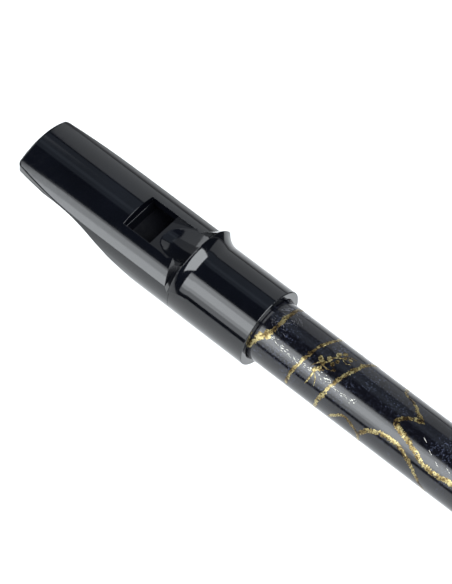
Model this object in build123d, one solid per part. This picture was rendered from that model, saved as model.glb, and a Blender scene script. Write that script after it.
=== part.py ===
"""Soprano tin whistle: a decorated metal tube in a two-piece moulded mouthpiece.

Frame: +X runs along the tube to the foot, +Z is the side of the window and finger holes.
The origin is on the axis, at the open end of the mouthpiece's sleeve. Millimetres.
"""
from build123d import *
import math
import os

# --- Driving dimensions -----------------------------------------------------------------
# Tube: thin drawn metal, straight and round. The lacquer thins out at the mouthpiece's socket.
TUBE_R = 7.0
LACQUER = 0.03
LACQUER_FEATHER = 1.0
TUBE_WALL = 0.4
FOOT_X = 236.7
SOCKET_DEPTH = 18.5
SEAT_GAP = 0.1
# Finger holes, counted from the foot: distance from the foot's end and diameter.
FINGER_HOLES = ((41.5, 6.6), (68.5, 8.0), (84.5, 6.0), (113.0, 7.2), (137.0, 7.0), (156.0, 6.0))

# Mouthpiece: length from the tip to the sleeve's open end, and the sleeve that takes the tube.
HEAD_LENGTH = 62.0
SLEEVE_R = 8.94
SLIDE_CLEARANCE = 0.05
RIM_ROUND = 0.2
MOUTH_CHAMFER = 0.4

# Barrel: a flat arch over straight sides that narrow to the tip; half-widths along X.
ARCH_R = 12.5
ARCH_TOP_Z = 7.7
PLAN = ((-62.0, 7.3), (-56.0, 8.1), (-51.0, 8.55), (-45.0, 8.8), (-36.0, 8.88))
PLAN_END = (-16.0, 8.9)
TIP_CORNER = 1.0
TIP_ROUND = 0.45

# Collar: a straight flare up to the crest and a hollow fall to the sleeve.
FLARE_START = (-23.4, 7.5)
CREST = (-19.1, 10.75)
COLLAR_END_X = -15.7

# The shell roofs this angle to each side of the top; the block fills the rest.
SHELL_HALF_ANGLE = 65.0
SEAM_GAP = 0.06

# Windway, window and blade.
WINDWAY_WIDTH = 8.5
WINDWAY_ROOF = (5.6, 5.9)
WINDWAY_FLOOR = (4.35, 4.9)
TONGUE_WIDTH = 10.0
WINDOW_WIDTH = 8.9
WINDOW_X = -35.5
BLADE_X = -29.15
BLADE_TOP_Z = 5.35
CEILING_Z = 5.1

# Ramp behind the blade: it rises gently, then lifts steeply to the collar's crest, with a
# thumb-shaped hollow between.
RAMP_SLOPE = 0.27
LIFT = 2.0
LIFT_DROP = 0.026
LIFT_POWER = 24
HOLLOW_CENTRE_X = -22.0
HOLLOW_LENGTH = 6.4
HOLLOW_HALF_WIDTH = 4.25
HOLLOW_DEPTH = 1.15
HOLLOW_EDGE = 0.03
RAMP_END_X = -18.7
RAMP_SPREAD = 1.0
RAMP_SPREAD_X = -26.0

# Air chamber under the window, and the block's underside.
CHAMBER_R = 6.4
BLOCK_END_X = -19.5
BLOCK_R = 8.9
TIP_UNDERSIDE_Z = 3.25
UNDERSIDE = ((-52.0, 3.25), (-46.0, 2.85), (-41.0, 1.5), (-36.0, -0.6), (-30.0, -2.8), (-25.0, -5.4))
BELLY_X = -20.3
CHAMBER_FLOOR = ((WINDOW_X, 1.3), (-32.5, 0.1), (-28.0, -1.6), (-24.0, -4.0))
CHAMBER_FLOOR_END_X = -20.2

TIP_X = -HEAD_LENGTH
SPIGOT_R = TUBE_R - LACQUER
SOCKET_R = SPIGOT_R + SLIDE_CLEARANCE
TUBE_START_X = -SOCKET_DEPTH + SEAT_GAP
BORE_R = TUBE_R - TUBE_WALL
REACH = 16.0


def rod(radius, start_x, end_x, centre_z=0.0):
    """A round bar along X."""
    placed = Plane.YZ.offset((start_x + end_x) / 2)
    return Pos(0, 0, centre_z) * (placed * Cylinder(radius, end_x - start_x))


def turned(*profile):
    """A bar turned to a profile of (place along X, radius)."""
    outline = [(profile[0][0], 0), *profile, (profile[-1][0], 0)]
    return revolve(make_face(Plane.XZ * Polyline(*outline, close=True)), Axis.X)


def slab(x_range, y_half, z_range):
    """A block centred on the XZ plane."""
    size_x = x_range[1] - x_range[0]
    size_z = z_range[1] - z_range[0]
    centre = ((x_range[0] + x_range[1]) / 2, 0, (z_range[0] + z_range[1]) / 2)
    return Pos(*centre) * Box(size_x, 2 * y_half, size_z)


def prism(*edges, half_width=REACH):
    """A closed side view outline in X and Z, spread equally to both sides."""
    outline = make_face(Plane.XZ * (Curve() + list(edges)))
    return extrude(outline, half_width, both=True)


def above_seam(end_x, drop=0.0):
    """The sector of space that the shell roofs, from past the tip to end_x."""
    side = REACH * math.sin(math.radians(SHELL_HALF_ANGLE))
    height = REACH * math.cos(math.radians(SHELL_HALF_ANGLE))
    rim = [(side, height), (side, REACH), (-side, REACH), (-side, height)]
    sector = make_face(Plane.YZ * Polyline((0, 0), *rim, close=True))
    return Pos(TIP_X - 1, 0, -drop) * extrude(sector, end_x - TIP_X + 1, dir=(1, 0, 0))


def plan_form():
    """The mouthpiece's outline from above, narrowing to the tip with rounded corners."""
    left = Spline(*PLAN, PLAN_END, tangents=((1, 0.16), (1, 0)), tangent_scalars=(1, 1))
    right = Spline(*[(x, -y) for x, y in (*PLAN, PLAN_END)], tangents=((1, -0.16), (1, 0)))
    ends = [Line(left @ 0, right @ 0), Line(left @ 1, right @ 1)]
    form = extrude(make_face(Curve() + [left, right, *ends]), REACH, both=True)
    corners = form.edges().filter_by(Axis.Z).group_by(Axis.X)[0]
    return fillet(corners, TIP_CORNER)


def barrel():
    """The flat arch from the tip to the collar, with its tip edge rounded."""
    arch = rod(ARCH_R, TIP_X - 1, CREST[0], centre_z=ARCH_TOP_Z - ARCH_R)
    form = plan_form() & arch
    tip_edges = form.edges().group_by(Axis.X)[0].filter_by(GeomType.CIRCLE)
    return fillet(tip_edges.sort_by(Axis.Z)[-1], TIP_ROUND)


def collar():
    """The raised collar turned full round: flare, crest and fall to the sleeve."""
    flare = Line(FLARE_START, CREST)
    fall = TangentArc((COLLAR_END_X, SLEEVE_R), CREST, tangent=(-1, 0))
    back = Polyline((COLLAR_END_X, SLEEVE_R), (COLLAR_END_X, 0), (FLARE_START[0], 0), FLARE_START)
    return revolve(make_face(Plane.XZ * (Curve() + [flare, fall, back])), Axis.X)


def sleeve():
    """The full-round sleeve behind the block: a slightly tapered ring, then straight."""
    ring = turned((BLOCK_END_X, BLOCK_R), (COLLAR_END_X, SLEEVE_R), (0, SLEEVE_R))
    rim = ring.edges().filter_by(GeomType.CIRCLE).sort_by(Axis.X)[-1]
    return fillet(rim, RIM_ROUND)


def windway_space(width, floor, roof):
    """A channel from the tip to the window, between two slowly rising surfaces."""
    start_x = TIP_X - 1
    low = [(start_x, floor[0]), (WINDOW_X, floor[1])]
    return prism(Polyline(*low, (WINDOW_X, roof[1]), (start_x, roof[0]), close=True), half_width=width / 2)


def chamber():
    """The air space under the window: round, with a flat ceiling under the blade."""
    ceiling = slab((WINDOW_X, -SOCKET_DEPTH), WINDOW_WIDTH / 2, (0, CEILING_Z))
    space = rod(CHAMBER_R, WINDOW_X, -SOCKET_DEPTH)
    return space & slab((WINDOW_X, -SOCKET_DEPTH), REACH, (-REACH, CEILING_Z)) + ceiling


def hollow(x, y):
    """Depth of the hollow: a dish with an elliptic outline and a slightly rounded edge."""
    inside = 1 - ((x - HOLLOW_CENTRE_X) / HOLLOW_LENGTH) ** 2 - (y / HOLLOW_HALF_WIDTH) ** 2
    return HOLLOW_DEPTH * (inside + math.hypot(inside, HOLLOW_EDGE)) / 2


def ramp_z(x, y):
    """Height of the ramp behind the blade."""
    run = x - BLADE_X
    crest_share = (run / (CREST[0] - BLADE_X)) ** LIFT_POWER
    lift = LIFT - LIFT_DROP * y**2 + hollow(CREST[0], y)
    return BLADE_TOP_Z + RAMP_SLOPE * run - hollow(x, y) + lift * crest_share


def ramp_half_width(x):
    """Half the ramp's width: the window's, then spreading towards the collar."""
    spread = min(1.0, max(0.0, (x - RAMP_SPREAD_X) / (CREST[0] - RAMP_SPREAD_X)))
    return WINDOW_WIDTH / 2 + RAMP_SPREAD * math.sin(spread * math.pi / 2) ** 2


def ramp_cutter(rows=80, columns=41):
    """The air above the ramp, from the blade to just past the collar's crest."""
    start_x = BLADE_X - 0.4
    grid = []
    for row in range(rows):
        x = start_x + (RAMP_END_X - start_x) * row / (rows - 1)
        places = [ramp_half_width(x) * (2 * column / (columns - 1) - 1) for column in range(columns)]
        grid.append([Vector(x, y, ramp_z(x, y)) for y in places])
    skin = Face.make_surface_from_array_of_points(grid, tol=0.005)
    return extrude(skin, amount=REACH / 2, dir=(0, 0, 1))


def head_shell():
    """Upper moulding: roof, window, blade and collar, in one piece with the sleeve."""
    roof = (barrel() + collar()) & above_seam(COLLAR_END_X)
    shell = roof + sleeve()
    shell -= windway_space(TONGUE_WIDTH, (0, 0), WINDWAY_ROOF)
    shell -= slab((WINDOW_X, BLADE_X), WINDOW_WIDTH / 2, (0, REACH))
    shell -= chamber()
    shell -= ramp_cutter()
    shell -= underside()
    shell -= rod(SOCKET_R, -SOCKET_DEPTH, 1)
    mouth = Plane.YZ.offset(-MOUTH_CHAMFER / 2) * Cone(SOCKET_R, SOCKET_R + MOUTH_CHAMFER, MOUTH_CHAMFER)
    return shell - mouth


def underside():
    """The outline under the beak: thin at the tip, then down to the round belly."""
    tip = (TIP_X, TIP_UNDERSIDE_Z)
    beak = Spline(
        tip, *UNDERSIDE, (BELLY_X, -BLOCK_R), tangents=((1, -0.02), (1, -0.7)), tangent_scalars=(1, 1)
    )
    frame = Polyline((BELLY_X, -BLOCK_R), (BELLY_X, -REACH), (TIP_X - 1, -REACH), (TIP_X - 1, tip[1]), tip)
    return prism(beak, frame)


def chamber_floor():
    """The part of the air chamber that the block leaves open."""
    last = (CHAMBER_FLOOR_END_X, -CHAMBER_R)
    slope = Spline(*CHAMBER_FLOOR, last)
    frame = Polyline(last, (0, -CHAMBER_R), (0, REACH), (WINDOW_X, REACH), CHAMBER_FLOOR[0])
    return prism(slope, frame)


def windway_block():
    """Lower moulding: beak, windway floor and the half-round floor of the air chamber."""
    body = rod(BLOCK_R, TIP_X, BLOCK_END_X - SEAM_GAP) & plan_form()
    body -= above_seam(0, drop=SEAM_GAP)
    body -= underside()
    tongue = windway_space(TONGUE_WIDTH - 2 * SEAM_GAP, (-1, -1), [z - SEAM_GAP for z in WINDWAY_ROOF])
    tongue &= rod(REACH, TIP_X, WINDOW_X)
    floor = rod(CHAMBER_R, WINDOW_X, BLADE_X) - chamber_floor()
    block = body + (tongue - underside()) + (floor - underside())
    block -= windway_space(WINDWAY_WIDTH, WINDWAY_FLOOR, (REACH, REACH))
    return block - (rod(CHAMBER_R, WINDOW_X, 0) & chamber_floor())


def tube():
    """Body tube with its six finger holes."""
    spigot = [(TUBE_START_X, SPIGOT_R), (-LACQUER_FEATHER, SPIGOT_R)]
    pipe = turned(*spigot, (0, TUBE_R), (FOOT_X, TUBE_R))
    pipe -= rod(BORE_R, TUBE_START_X - 1, FOOT_X + 1)
    for from_foot, diameter in FINGER_HOLES:
        drill = Pos(FOOT_X - from_foot, 0, TUBE_R) * Cylinder(diameter / 2, TUBE_R)
        pipe -= drill
    return pipe


PARTS = {"head_shell": head_shell, "windway_block": windway_block, "tube": tube}

os.makedirs("parts", exist_ok=True)
for name, make in PARTS.items():
    export_step(make(), f"parts/{name}.step")
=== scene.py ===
"""Looks of the tin whistle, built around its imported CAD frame.

Metres, in the CAD's frame: +X runs along the tube to the foot, +Z is the side of the
window and the finger holes, and the origin is at the open end of the mouthpiece's sleeve.
"""
import math
import random

import bpy
from mathutils import Matrix, Quaternion, Vector, noise


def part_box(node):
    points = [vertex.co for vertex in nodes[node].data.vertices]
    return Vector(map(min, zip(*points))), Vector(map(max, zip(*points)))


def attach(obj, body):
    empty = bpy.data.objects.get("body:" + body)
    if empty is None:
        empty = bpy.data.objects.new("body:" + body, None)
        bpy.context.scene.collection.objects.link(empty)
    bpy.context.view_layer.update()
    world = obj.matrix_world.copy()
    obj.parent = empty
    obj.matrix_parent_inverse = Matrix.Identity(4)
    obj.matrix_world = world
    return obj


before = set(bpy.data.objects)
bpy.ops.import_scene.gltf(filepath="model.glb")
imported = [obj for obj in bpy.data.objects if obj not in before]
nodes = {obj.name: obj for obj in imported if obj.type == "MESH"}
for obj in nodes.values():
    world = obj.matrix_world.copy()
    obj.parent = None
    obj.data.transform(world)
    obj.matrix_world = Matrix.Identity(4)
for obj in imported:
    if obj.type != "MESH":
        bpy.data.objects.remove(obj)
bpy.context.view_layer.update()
MM = 0.001

# --- Places that the looks are worked out from ---------------------------------------------
_, tube_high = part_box("tube")
TUBE_R = tube_high.z
FOOT_X = tube_high.x
BORE_R = TUBE_R - 0.4 * MM
SPIGOT_END_X = -0.6 * MM
CHAMBER_R = 6.4 * MM
WINDOW_X = -35.5 * MM
# Below these heights, inside the air chamber, the plastic is made rough and nearly unreflective: a painted
# shade that keeps the chamber dark.
SHELL_DULL_AND_SHADED_Z = 5.12 * MM
BLOCK_DULL_AND_SHADED_Z = 4.8 * MM


# --- Camera, floor and lights --------------------------------------------------------------
CAMERA_AZIMUTH = 36.6
CAMERA_ELEVATION = 57.5
CAMERA_ROLL = 5.1
CAMERA_DISTANCE = 0.604
CAMERA_LENS = 184.5
CAMERA_AIM = Vector((-0.0122, 0.0007, 0))
FLOOR_Z = -0.15
FLOOR_HALF = 8.0
FLOOR_GREY = 0.55
FLAG_BLACK = 0.02
FLAG_Y = -0.85
FLAG_ANGLES = (-11, -1)
COOL = (0.93, 0.97, 1.0)
BLUE = (0.72, 0.84, 1.0)


def direction(azimuth, elevation):
    """Unit vector from the object towards a camera or light. Azimuth 0 is -Y, 90 is +X."""
    a, e = math.radians(azimuth), math.radians(elevation)
    return Vector((math.sin(a) * math.cos(e), -math.cos(a) * math.cos(e), math.sin(e)))


def add_to_scene(name, data):
    thing = bpy.data.objects.new(name, data)
    bpy.context.scene.collection.objects.link(thing)
    return thing


def add_camera():
    camera = add_to_scene("camera", bpy.data.cameras.new("camera"))
    back = direction(CAMERA_AZIMUTH, CAMERA_ELEVATION)
    camera.location = CAMERA_AIM + back * CAMERA_DISTANCE
    camera.rotation_mode = "QUATERNION"
    roll = Quaternion((0, 0, 1), math.radians(CAMERA_ROLL))
    camera.rotation_quaternion = (-back).to_track_quat("-Z", "Y") @ roll
    camera.data.lens = CAMERA_LENS
    camera.data.clip_start = 0.01
    camera.data.clip_end = 50
    bpy.context.scene.camera = camera


def plain_material(name, colour):
    material = bpy.data.materials.new(name)
    material.use_nodes = True
    shader = material.node_tree.nodes["Principled BSDF"]
    shader.inputs["Base Color"].default_value = (*colour, 1)
    shader.inputs["Roughness"].default_value = 1.0
    shader.inputs["Specular IOR Level"].default_value = 0.0
    return material


def add_sheet(name, corners, colour):
    """A flat sheet of the studio: the floor or a black flag."""
    mesh = bpy.data.meshes.new(name)
    mesh.from_pydata(corners, [], [(0, 1, 2, 3)])
    mesh.materials.append(plain_material(name, colour))
    sheet = add_to_scene(name, mesh)
    return sheet


def add_floor():
    h = FLOOR_HALF
    corners = [(-h, -h, FLOOR_Z), (h, -h, FLOOR_Z), (h, h, FLOOR_Z), (-h, h, FLOOR_Z)]
    add_sheet("floor", corners, (FLOOR_GREY,) * 3)


def add_flag(name, corners):
    """A black flag, seen only in the whistle's reflections."""
    flag = add_sheet(name, corners, (FLAG_BLACK,) * 3)
    flag.visible_camera = False
    flag.visible_shadow = False
    flag.visible_diffuse = False


def flat_card(x_low, x_high, y_low, y_high):
    """Corners of a card that lies a little above the floor."""
    z = FLOOR_Z + 0.01
    return [(x_low, y_low, z), (x_high, y_low, z), (x_high, y_high, z), (x_low, y_high, z)]


def add_flags():
    """Black cards, seen only in reflections, that darken the reflections in the underside, the tip's end
    and the far side.
    """
    y = FLAG_Y
    low, high = (-y * math.tan(math.radians(angle)) for angle in FLAG_ANGLES)
    add_flag("flag_under_main", [(-1.5, y, low), (1.5, y, low), (1.5, y, high), (-1.5, y, high)])
    add_flag("flag_past_tip", flat_card(-1.6, -0.3, -0.6, 0.3))
    add_flag("flag_past_sleeve", flat_card(0.1, 1.0, 0.2, 1.6))


def add_panel(name, towards, along, distance, width, height, radiance, colour):
    """A soft light panel at a distance in a direction, with its width along a given vector."""
    light = bpy.data.lights.new(name, "AREA")
    light.shape = "RECTANGLE"
    light.size = width
    light.size_y = height
    light.energy = radiance * math.pi * width * height
    light.color = colour
    lamp = add_to_scene(name, light)
    up = towards.cross(along).normalized()
    lamp.location = towards * distance
    lamp.rotation_mode = "QUATERNION"
    axes = Matrix((up.cross(towards), up, towards)).transposed()
    lamp.rotation_quaternion = axes.to_quaternion()
    lamp.visible_camera = False
    return lamp


def add_strip(name, elevation, spread, radiance, side=-1, distance=0.9, colour=COOL):
    """A long panel parallel to the whistle, on one side of it and past both its ends."""
    e = math.radians(elevation)
    towards = Vector((0, side * math.cos(e), math.sin(e)))
    height = 2 * distance * math.tan(math.radians(spread / 2))
    start, end = -0.52 * distance, 0.5 * distance
    along = Vector((1, 0, 0))
    lamp = add_panel(name, towards, along, distance, end - start, height, radiance, colour)
    lamp.location.x += (start + end) / 2


def add_softbox(name, azimuth, elevation, angles, radiance, distance=1.0):
    """A panel off one end of the whistle, as wide and as high as two angles say."""
    towards = direction(azimuth, elevation)
    along = Vector((0, 0, 1)).cross(towards).normalized()
    width, height = (2 * distance * math.tan(math.radians(angle / 2)) for angle in angles)
    add_panel(name, towards, along, distance, width, height, radiance, COOL)


def add_lights():
    """Strips along the near side, a reflector on the far side, and softboxes off the ends."""
    world = bpy.data.worlds.new("studio")
    world.use_nodes = True
    world.node_tree.nodes["Background"].inputs["Color"].default_value = (0.8, 0.9, 1.0, 1)
    world.node_tree.nodes["Background"].inputs["Strength"].default_value = 0.04
    bpy.context.scene.world = world
    add_strip("main_wide", 29, 57, 2.6)
    add_strip("main_core", 34, 40, 2.6, distance=0.88)
    add_strip("main_heart", 33, 20, 2.4, distance=0.86)
    add_strip("reflector", 23, 46, 0.85, side=1)
    add_strip("top_glow", 67, 36, 0.3, side=1, distance=1.2, colour=BLUE)
    add_strip("top_line", 74, 6, 0.2, side=1, distance=1.15, colour=BLUE)
    add_softbox("foot_box", 93, 49, (52, 58), 8.5)
    add_softbox("tip_box", -95, 37, (54, 46), 0.45)
    add_softbox("tip_box_near", -84, 40, (28, 40), 0.5, distance=0.95)
    add_softbox("tip_low", -80, 18, (40, 36), 2.4, distance=0.9)
    sun = bpy.data.lights.new("overhead", "SUN")
    sun.energy = 1.2
    sun.angle = math.radians(80)
    lamp = add_to_scene("overhead", sun)
    lamp.visible_glossy = False
    bpy.context.scene.view_settings.view_transform = "Standard"


# --- Materials -----------------------------------------------------------------------------
class Shading:
    """A material's node tree, with short calls for its procedural parts."""

    def __init__(self, name):
        self.material = bpy.data.materials.new(name)
        self.material.use_nodes = True
        self.tree = self.material.node_tree
        self.shader = self.tree.nodes["Principled BSDF"]
        self.place = self.tree.nodes.new("ShaderNodeTexCoord").outputs["Object"]

    def link(self, output, socket):
        self.tree.links.new(output, socket)

    def node(self, kind, **settings):
        made = self.tree.nodes.new(kind)
        for key, value in settings.items():
            setattr(made, key, value)
        return made

    def noise(self, scale, detail=3.0, roughness=0.5, stretch=(1, 1, 1)):
        """Noise over the object, with features about 1/scale metres wide."""
        mapping = self.node("ShaderNodeMapping")
        mapping.inputs["Scale"].default_value = stretch
        self.link(self.place, mapping.inputs["Vector"])
        texture = self.node("ShaderNodeTexNoise")
        texture.inputs["Scale"].default_value = scale
        texture.inputs["Detail"].default_value = detail
        texture.inputs["Roughness"].default_value = roughness
        self.link(mapping.outputs["Vector"], texture.inputs["Vector"])
        return texture.outputs["Fac"]

    def ramp(self, value, *stops):
        """Colours at places from 0 to 1, smoothly between them."""
        made = self.node("ShaderNodeValToRGB")
        elements = made.color_ramp.elements
        while len(elements) < len(stops):
            elements.new(1.0)
        for element, (position, colour) in zip(elements, stops):
            element.position = position
            element.color = (*colour, 1) if isinstance(colour, tuple) else (colour, colour, colour, 1)
        self.link(value, made.inputs["Fac"])
        return made.outputs["Color"]

    def blend(self, factor, first, second):
        """The first colour where the factor is 0 and the second where it is 1."""
        made = self.node("ShaderNodeMix", data_type="RGBA")
        inputs = {socket.identifier: socket for socket in made.inputs}
        outputs = {socket.identifier: socket for socket in made.outputs}
        self.link(factor, inputs["Factor_Float"])
        self.link(first, inputs["A_Color"])
        self.link(second, inputs["B_Color"])
        return outputs["Result_Color"]

    def compare(self, operation, value, number):
        made = self.node("ShaderNodeMath", operation=operation)
        self.link(value, made.inputs[0])
        made.inputs[1].default_value = number
        return made.outputs["Value"]

    def combine(self, operation, first, second):
        made = self.node("ShaderNodeMath", operation=operation)
        self.link(first, made.inputs[0])
        self.link(second, made.inputs[1])
        return made.outputs["Value"]

    def along(self):
        """Place along the tube."""
        parts = self.node("ShaderNodeSeparateXYZ")
        self.link(self.place, parts.inputs["Vector"])
        return parts.outputs["X"]

    def height(self):
        """Height over the tube's axis."""
        parts = self.node("ShaderNodeSeparateXYZ")
        self.link(self.place, parts.inputs["Vector"])
        return parts.outputs["Z"]

    def radius(self):
        """Distance from the tube's axis."""
        flat = self.node("ShaderNodeVectorMath", operation="MULTIPLY")
        flat.inputs[1].default_value = (0, 1, 1)
        self.link(self.place, flat.inputs[0])
        length = self.node("ShaderNodeVectorMath", operation="LENGTH")
        self.link(flat.outputs["Vector"], length.inputs[0])
        return length.outputs["Value"]

    def inside_chamber(self, top):
        """1 in the air chamber and under the window, below a height, and 0 outside."""
        low = self.compare("LESS_THAN", self.height(), top)
        behind = self.compare("GREATER_THAN", self.along(), WINDOW_X - 0.02 * MM)
        near = self.compare("LESS_THAN", self.radius(), CHAMBER_R + 0.08 * MM)
        return self.combine("MULTIPLY", self.combine("MULTIPLY", low, behind), near)

    def bump(self, height, distance, strength=1.0, under=None):
        made = self.node("ShaderNodeBump")
        made.inputs["Strength"].default_value = strength
        made.inputs["Distance"].default_value = distance
        self.link(height, made.inputs["Height"])
        if under:
            self.link(under, made.inputs["Normal"])
        return made.outputs["Normal"]


def head_plastic(name, dark, light, dull_and_shaded_below):
    """Polished black moulded plastic with rounded edges. Inside the air chamber it is rougher and its
    reflection is cut to almost nothing, a painted shade that keeps the chamber dark.
    """
    s = Shading(name)
    s.link(s.ramp(s.noise(90), (0.35, dark), (0.7, light)), s.shader.inputs["Base Color"])
    dull_and_shaded = s.inside_chamber(dull_and_shaded_below)
    gloss = s.ramp(s.noise(700, 5.0, 0.6), (0.3, 0.06), (0.8, 0.13))
    grain = s.ramp(s.noise(1200, 4.0), (0.3, 0.5), (0.7, 0.7))
    s.link(s.blend(dull_and_shaded, gloss, grain), s.shader.inputs["Roughness"])
    # Painted shade: the reflection inside the chamber is cut to almost nothing, so that the chamber stays
    # dark.
    s.link(s.ramp(dull_and_shaded, (0.0, 0.5), (1.0, 0.04)), s.shader.inputs["Specular IOR Level"])
    edge = s.node("ShaderNodeBevel", samples=6)
    edge.inputs["Radius"].default_value = 0.16 * MM
    flow = s.bump(s.noise(60, 2.0, 0.4, (0.35, 1, 1)), 0.07 * MM, 0.5, edge.outputs["Normal"])
    s.link(s.bump(s.noise(2500, 4.0), 0.001 * MM, 0.5, flow), s.shader.inputs["Normal"])
    return s.material


def tube_lacquer():
    """Gloss black lacquer with a fine bluish speckle, and bare metal in the bore and socket."""
    s = Shading("tube_lacquer")
    speckle = s.ramp(s.noise(2300, 4.0, 0.75), (0.52, 0.0), (0.7, 1.0))
    cloud = s.ramp(s.noise(140, 3.0), (0.45, 0.15), (0.7, 1.0))
    spots = s.combine("MULTIPLY", speckle, cloud)
    colour = s.ramp(spots, (0.0, (0.0012, 0.0012, 0.0022)), (1.0, (0.045, 0.052, 0.08)))
    bore = s.compare("LESS_THAN", s.radius(), BORE_R + 0.1 * MM)
    spigot = s.compare("LESS_THAN", s.along(), SPIGOT_END_X)
    bare = s.combine("MAXIMUM", bore, spigot)
    draw = s.noise(400, 4.0, 0.6, (0.05, 1, 1))
    metal = s.ramp(draw, (0.3, (0.2, 0.195, 0.185)), (0.75, (0.3, 0.295, 0.28)))
    s.link(s.blend(bare, colour, metal), s.shader.inputs["Base Color"])
    s.link(bare, s.shader.inputs["Metallic"])
    gloss = s.ramp(s.noise(900, 5.0, 0.65), (0.3, 0.09), (0.8, 0.2))
    worn = s.ramp(draw, (0.3, 0.34), (0.8, 0.5))
    s.link(s.blend(bare, gloss, worn), s.shader.inputs["Roughness"])
    orange_peel = s.bump(s.noise(350, 3.0), 0.006 * MM, 0.6)
    s.link(s.bump(s.noise(3000, 3.0), 0.002 * MM, 0.5, orange_peel), s.shader.inputs["Normal"])
    return s.material


def gold_leaf():
    """Flaky gold leaf: brown where it is thin, pale where it is thick."""
    s = Shading("gold_leaf")
    fine = s.noise(2400, 4.0, 0.75)
    tone = s.combine("MULTIPLY", fine, s.noise(420, 3.0, 0.6))
    thin, middle, thick = (0.02, 0.011, 0.004), (0.12, 0.084, 0.030), (0.33, 0.285, 0.14)
    colour = s.ramp(tone, (0.17, thin), (0.235, middle), (0.33, thick))
    s.link(colour, s.shader.inputs["Base Color"])
    s.shader.inputs["Metallic"].default_value = 0.85
    s.link(s.ramp(fine, (0.35, 0.2), (0.65, 0.42)), s.shader.inputs["Roughness"])
    s.link(s.bump(fine, 0.05 * MM, 0.8), s.shader.inputs["Normal"])
    return s.material


def pale_marks(name, dark, light):
    """Silvery flecks, which are partly painted glints, and hairline scratches in the lacquer."""
    s = Shading(name)
    fine = s.noise(4000, 3.0, 0.6)
    s.link(s.ramp(fine, (0.35, dark), (0.65, light)), s.shader.inputs["Base Color"])
    s.shader.inputs["Metallic"].default_value = 0.3
    s.link(s.ramp(fine, (0.3, 0.3), (0.7, 0.5)), s.shader.inputs["Roughness"])
    return s.material


def paint(node, material):
    """Give a CAD node its only material."""
    node.data.materials.clear()
    node.data.materials.append(material)


# --- Gold line decoration on the tube ------------------------------------------------------
# Each line is a few (distance from the sleeve in mm, degrees from the window side) points,
# then its full width in mm. Positive degrees are towards +Y.
LINES = (
    (((3.4, 60), (3.3, 20), (3.0, -25), (1.7, -45), (0.3, -68), (-0.2, -80)), 0.92),
    (((13.8, 60), (13.4, 25), (12.1, -8), (11.4, -38), (10.6, -65), (10.2, -100)), 0.7),
    (((23.0, 70), (22.0, 35), (20.8, 0), (19.8, -26), (19.0, -50), (18.0, -80), (17.5, -110)), 0.84),
    (((21.0, -100), (23.6, -75), (25.4, -72), (28.4, -86), (28.8, -110)), 0.64),
    (((28.4, -86), (30.6, -64), (34.0, -52), (37.5, -53), (40.5, -64), (43.0, -82), (45.5, -110)), 0.92),
    (((30.6, 60), (31.6, 34), (34.0, 26), (36.2, 13), (38.8, 3)), 0.72),
    (((38.8, 3), (36.6, -2), (34.8, -12), (33.8, -25)), 0.86),
    (((33.8, -25), (36.0, -30), (40.4, -42), (43.0, -51), (46.5, -54), (52.0, -48), (57.0, -62)), 1.08),
)
STEM = (((13.4, -34), (14.6, -20), (15.8, -12), (16.2, 0), (17.4, 8), (18.2, 18), (19.8, 24)), 0.3)
TENDRILS = (
    (((16.2, -27), (15.0, -33), (14.7, -40), (14.6, -52), (14.2, -66)), 0.35),
    (((14.8, -38), (15.8, -48), (16.2, -60)), 0.2),
    (((17.4, 8), (18.6, 4), (19.6, 8)), 0.22),
    (((14.6, -20), (16.2, -22), (17.6, -20)), 0.22),
)
LEAVES = (
    ((14.2, -14), 1.1), ((15.1, -18), 1.2), ((15.7, -6), 1.2), ((16.8, -11), 1.0), ((17.2, -2), 0.9),
    ((16.4, 10), 1.1), ((17.9, 11), 0.8), ((17.3, 19), 1.1), ((18.9, 15), 0.9), ((17.8, -17), 0.7),
)
PATCHES = (((15.3, -29), 1.1), ((14.6, -35), 1.0), ((2.4, -37), 1.9), ((1.5, -44), 1.7), ((0.9, -52), 1.2))
DASHES = ((40.5, -20), (42.8, -31), (45.2, -40), (47.8, -37), (50.5, -30))
LEAF_LIFT = 0.02 * MM
FLAKE_OFF = 0.42
MM_PER_DEGREE = math.radians(1) * TUBE_R / MM

# Far lines, in mm and degrees: they miss the finger holes, start in rows, and keep apart.
HOLE_DISTANCES = (41.5, 68.5, 84.5, 113.0, 137.0, 156.0)
HOLE_REACH = 5.5
HOLE_ANGLE = 60
DRAWN_END = 50.0
LINE_GAP = 6.0
FAR_ROWS = (3.0, 14.0, 9.0)
FAR_ANGLES = (-170, -80, 10, 100)
FAR_TRIES = 8
FAR_SEED = 11
FLECK_SEED = 5
# Pale flecks along the main light's reflection on the tube: partly painted glints.
GLINT_FLECKS = 110
HAIRLINES = 40


def on_tube(distance, degrees, lift):
    """Point on the tube's surface, at a distance in mm along it and an angle from the top."""
    a = math.radians(degrees)
    r = TUBE_R + lift
    return Vector((distance * MM, r * math.sin(a), r * math.cos(a)))


def smooth_route(points, step=0.18):
    """Places along a smooth curve through the points, about a step in mm apart."""
    flat = [Vector((x, degrees * MM_PER_DEGREE)) for x, degrees in points]
    flat = [2 * flat[0] - flat[1], *flat, 2 * flat[-1] - flat[-2]]
    route = []
    for a, b, c, d in zip(flat, flat[1:], flat[2:], flat[3:]):
        count = max(2, round((c - b).length / step))
        for k in range(count):
            t = k / count
            square, cube = 2 * a - 5 * b + 4 * c - d, 3 * b - a - 3 * c + d
            route.append((2 * b + (c - a) * t + square * t**2 + cube * t**3) / 2)
    route.append(flat[-2])
    return route


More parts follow.
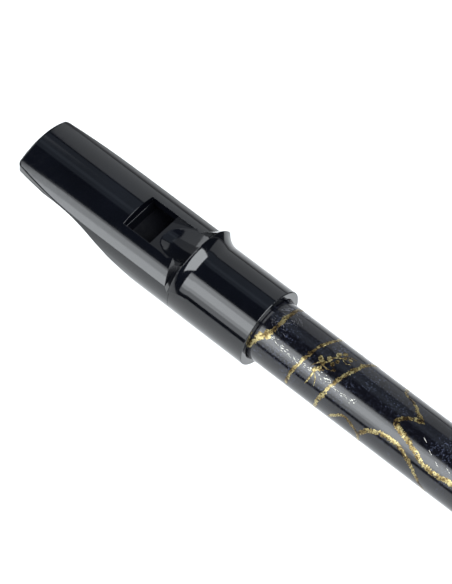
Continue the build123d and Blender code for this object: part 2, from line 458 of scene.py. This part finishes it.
def ribbon(verts, faces, points, width, seed, taper=1.5):
    """A ragged raised band of leaf along a route, thinner at its two ends."""
    route = smooth_route(points)
    across = (-1.0, -0.55, 0.0, 0.55, 1.0)
    start = len(verts)
    run = 0.0
    length = sum((b - a).length for a, b in zip(route, route[1:]))
    for index, place in enumerate(route):
        before = route[max(0, index - 1)]
        after = route[min(len(route) - 1, index + 1)]
        heading = (after - before).normalized()
        side = Vector((-heading.y, heading.x))
        run += (place - before).length
        ends = min(1.0, 0.35 + min(run, length - run) / taper)
        swell = 1 + 0.35 * noise.noise(Vector((run * 0.5, seed, 0)))
        wander = 0.22 * noise.noise(Vector((run * 0.8, seed, 5)))
        for share in across:
            ragged = 1 + 0.9 * noise.noise(Vector((run * 3.6, share * 3, seed)))
            offset = share * width / 2 * swell * ragged * ends + wander * width
            spot = place + side * offset
            rough = 0.35 * noise.noise(Vector((spot.x * 5, spot.y * 5, seed)))
            lift = LEAF_LIFT * (1 - abs(share) ** 3 * 1.5 + rough)
            verts.append(on_tube(spot.x, spot.y / MM_PER_DEGREE, max(lift, -0.2 * LEAF_LIFT)))
    wide = len(across)
    for row in range(len(route) - 1):
        for column in range(wide - 1):
            x = (route[row].x + across[column]) * 2.1
            flake = noise.noise(Vector((x, route[row].y * 2.1 + across[column] * 1.5, seed + 40)))
            if flake > FLAKE_OFF:
                continue
            a = start + row * wide + column
            faces.append((a, a + 1, a + wide + 1, a + wide))


def patch(verts, faces, centre, width, seed, rings=4, spokes=14):
    """A ragged round patch of leaf."""
    start = len(verts)
    verts.append(on_tube(centre[0], centre[1], LEAF_LIFT))
    for ring in range(1, rings + 1):
        for spoke in range(spokes):
            a = 2 * math.pi * spoke / spokes
            ragged = 1 + 0.5 * noise.noise(Vector((math.cos(a) * 1.6, math.sin(a) * 1.6, seed)))
            reach = width / 2 * ring / rings * ragged
            lift = LEAF_LIFT * (1.1 - (ring / rings) ** 3 * 1.4)
            turn = reach * math.sin(a) / MM_PER_DEGREE
            verts.append(on_tube(centre[0] + reach * math.cos(a), centre[1] + turn, lift))
    for spoke in range(spokes):
        after = (spoke + 1) % spokes
        faces.append((start, start + 1 + spoke, start + 1 + after))
        for ring in range(rings - 1):
            a, b = start + 1 + ring * spokes, start + 1 + (ring + 1) * spokes
            faces.append((a + spoke, b + spoke, b + after, a + after))


def tube_piece(name, verts, faces, material):
    """A piece of decoration that rides on the tube."""
    mesh = bpy.data.meshes.new(name)
    mesh.from_pydata(verts, [], faces)
    mesh.validate()
    mesh.materials.append(material)
    for polygon in mesh.polygons:
        polygon.use_smooth = True
    piece = add_to_scene(name, mesh)
    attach(piece, "tube")


def clear_of_holes(x, degrees):
    """Whether a place on the tube is away from every finger hole."""
    if abs(degrees) > HOLE_ANGLE:
        return True
    return all(abs(x - (FOOT_X / MM - place)) > HOLE_REACH for place in HOLE_DISTANCES)


def wandering_line(maker, x, degrees, clockwise):
    """A line of the rest of the tube: it climbs round the tube while it drifts along it."""
    points = []
    for _ in range(maker.randint(4, 7)):
        points.append((x, degrees))
        x += maker.uniform(-0.8, 3.4)
        degrees += clockwise * maker.uniform(14, 38)
    return points


def apart(line, others):
    """Whether a line keeps its distance from the others, so that no two cross or form a sign."""
    for x, degrees in line:
        for other_x, other_degrees in (point for other in others for point in other):
            turn = (degrees - other_degrees + 180) % 360 - 180
            if math.hypot(x - other_x, turn * MM_PER_DEGREE) < LINE_GAP:
                return False
    return True


def far_line_fits(line, others):
    """Whether a far line misses the holes and, beside the drawn lines, stays on the back."""
    on_back = all(90 < angle % 360 < 250 for _, angle in line)
    clear = all(clear_of_holes(x, (degrees + 180) % 360 - 180) for x, degrees in line)
    return clear and (line[0][0] > DRAWN_END or on_back) and apart(line, others)


def far_lines():
    """Lines of the same hand between the drawn ones and the foot, on every side."""
    maker = random.Random(FAR_SEED)
    taken = [points for points, _ in LINES]
    lines = []
    x, margin, step = FAR_ROWS
    while x < FOOT_X / MM - margin:
        for degrees in FAR_ANGLES:
            for _ in range(FAR_TRIES):
                start = degrees + maker.uniform(-30, 30)
                line = wandering_line(maker, x + maker.uniform(0, 7), start, maker.choice((-1, 1)))
                if far_line_fits(line, taken):
                    taken.append(line)
                    lines.append((line, maker.uniform(0.6, 1.05)))
                    break
        x += step
    return lines


def add_gold():
    """The gold lines, the leaf sprig and the patches by the sleeve, then the lines beyond."""
    material = gold_leaf()
    verts, faces = [], []
    for index, (points, width) in enumerate((*LINES, STEM, *TENDRILS)):
        ribbon(verts, faces, points, width, index * 3.7)
    for index, (centre, width) in enumerate((*PATCHES, *LEAVES)):
        patch(verts, faces, centre, width, index * 2.3)
    tube_piece("gold_lines_near_the_sleeve", verts, faces, material)
    verts, faces = [], []
    for index, (points, width) in enumerate(far_lines()):
        ribbon(verts, faces, points, width, 60 + index * 3.7)
    tube_piece("gold_lines_along_the_tube", verts, faces, material)


def stroke(verts, faces, maker, x, degrees, reach, lean, width, seed):
    """One short pale stroke, bent a little at its middle."""
    bend = maker.uniform(-0.3, 0.3) * lean
    points = ((x, degrees), (x + reach / 2, degrees + lean / 2 + bend), (x + reach, degrees + lean))
    ribbon(verts, faces, points, width, seed, 0.4)


def add_pale_marks_and_glints():
    """Small pale marks: flecks kept to the band where the main light's reflection runs down the tube, so
    partly painted glints, then dashes, and hairlines by the sleeve.
    """
    maker = random.Random(FLECK_SEED)
    verts, faces = [], []
    for index in range(GLINT_FLECKS):
        x = maker.uniform(2.5, 26)
        # Painted glints: the flecks keep to about -39 degrees, where the main light's reflection runs down
        # the tube.
        degrees = -39 + 3 * math.sin(x * 0.5) + maker.gauss(0, 2.2)
        reach, lean, width = maker.uniform(0.15, 0.7), maker.uniform(-2, 2), maker.uniform(0.06, 0.2)
        stroke(verts, faces, maker, x, degrees, reach, lean, width, index)
    for index, (x, degrees) in enumerate(DASHES):
        dash = ((x, degrees + 4), (x + 0.6, degrees + 1.5), (x + 1.1, degrees))
        ribbon(verts, faces, dash, 0.11, 140 + index, 0.4)
    silver_and_glint = pale_marks("pale_fleck_and_glint", (0.12, 0.12, 0.12), (0.62, 0.61, 0.54))
    tube_piece("pale_flecks_and_glints", verts, faces, silver_and_glint)
    verts, faces = [], []
    for index in range(HAIRLINES):
        x, degrees = maker.uniform(0.8, 5.5), maker.uniform(-20, 45)
        reach, lean = maker.uniform(0.4, 1.6), maker.uniform(-13, 13)
        stroke(verts, faces, maker, x, degrees, reach, lean, 0.03, 90 + index)
    faint = pale_marks("hairline", (0.05, 0.05, 0.06), (0.2, 0.2, 0.22))
    tube_piece("hairlines", verts, faces, faint)


SHELL_BLACKS = ((0.0008, 0.001, 0.0018), (0.0014, 0.0017, 0.003))
BLOCK_BLACKS = ((0.0009, 0.001, 0.0018), (0.0016, 0.0019, 0.003))
paint(nodes["head_shell"], head_plastic("head_plastic", *SHELL_BLACKS, SHELL_DULL_AND_SHADED_Z))
paint(nodes["windway_block"], head_plastic("block_plastic", *BLOCK_BLACKS, BLOCK_DULL_AND_SHADED_Z))
paint(nodes["tube"], tube_lacquer())
add_gold()
add_pale_marks_and_glints()

add_camera()
add_floor()
add_flags()
add_lights()
